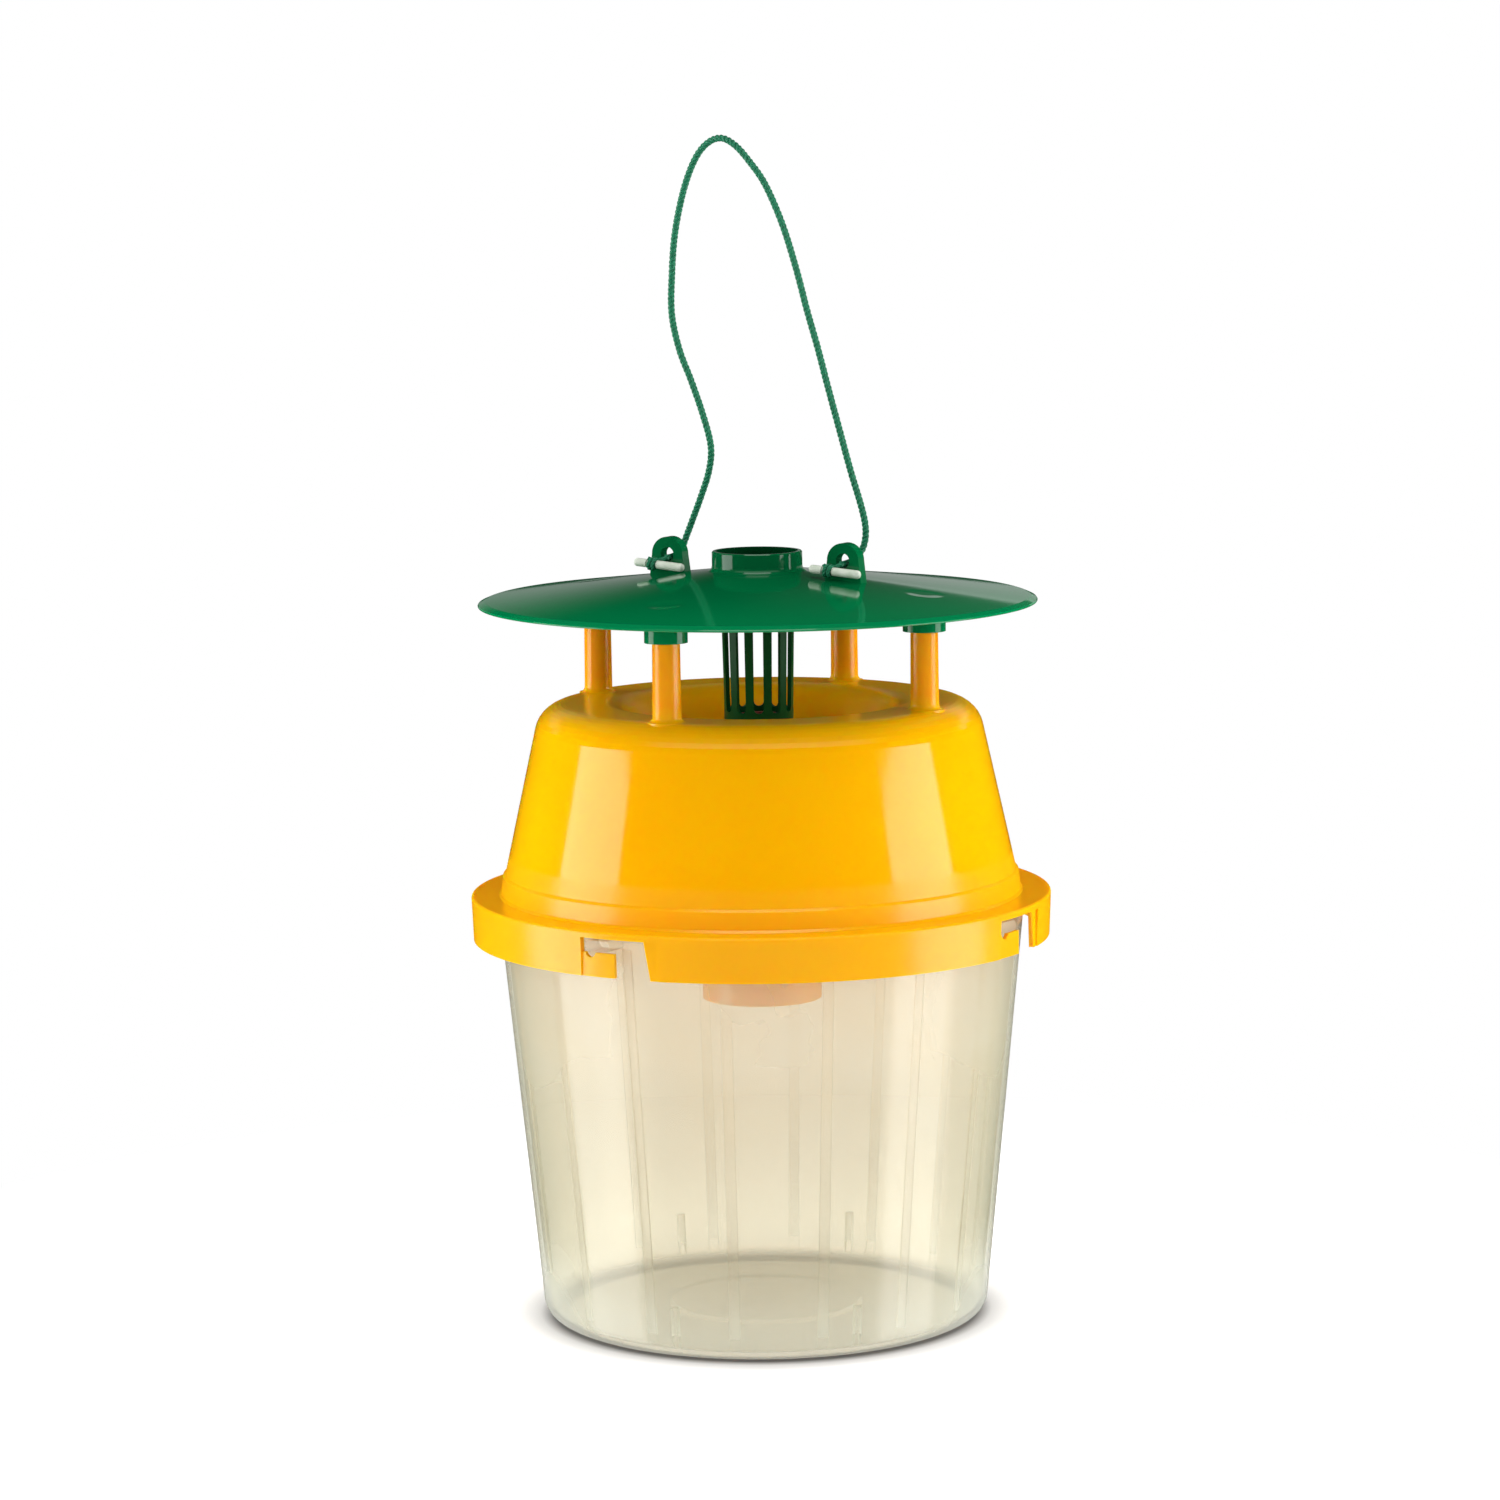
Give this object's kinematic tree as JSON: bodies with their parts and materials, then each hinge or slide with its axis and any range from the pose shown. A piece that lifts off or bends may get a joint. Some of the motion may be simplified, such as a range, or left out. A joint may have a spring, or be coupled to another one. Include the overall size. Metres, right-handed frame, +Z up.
{
  "type": "pheromone insect trap",
  "caption": "Hanging funnel trap for flying insects: clear bucket, twist-on funnel with posts, push-on rain lid, lift-out lure cage and a toggled hanging cord.",
  "frame": {"origin": "centre of the bucket's base, on the surface that it stands on", "axes": "+Z up along the trap's axis, -Y to the front, +X to the right"},
  "size_m": [0.165, 0.165, 0.3355],
  "materials": {
    "bucket_plastic": "translucent moulded polypropylene, smooth",
    "funnel_plastic": "glossy moulded polypropylene",
    "lid_plastic": "glossy moulded polypropylene",
    "cage_plastic": "semi-gloss moulded polypropylene",
    "lure_rubber": "matt natural rubber",
    "cord_fibre": "twisted three-strand polypropylene",
    "toggle_plastic": "milky nylon rod"
  },
  "bodies": {
    "bucket": {"bucket": "bucket_plastic"},
    "funnel": {"funnel_body": "funnel_plastic"},
    "lid": {"lid": "lid_plastic", "hanging_cord": "cord_fibre", "hitch_left": "cord_fibre", "hitch_right": "cord_fibre", "toggle_left": "toggle_plastic", "toggle_right": "toggle_plastic"},
    "cage": {"pheromone_cage": "cage_plastic"},
    "lure": {"lure": "lure_rubber"}
  },
  "joints": [
    {"name": "funnel_twist", "type": "hinge", "parent": "bucket", "child": "funnel", "pos_m": [0, 0, 0.1159], "axis": [0, 0, 1], "range_deg": [-7.1, 0]},
    {"name": "lid_lift", "type": "slide", "parent": "funnel", "child": "lid", "axis": [0, 0, 1], "range_m": [0, 0.03]},
    {"name": "cage_lift", "type": "slide", "parent": "lid", "child": "cage", "axis": [0, 0, 1], "range_m": [0, 0.06]},
    {"name": "lure_lift", "type": "slide", "parent": "cage", "child": "lure", "axis": [0, 0, 1], "range_m": [0, 0.055]}
  ]
}
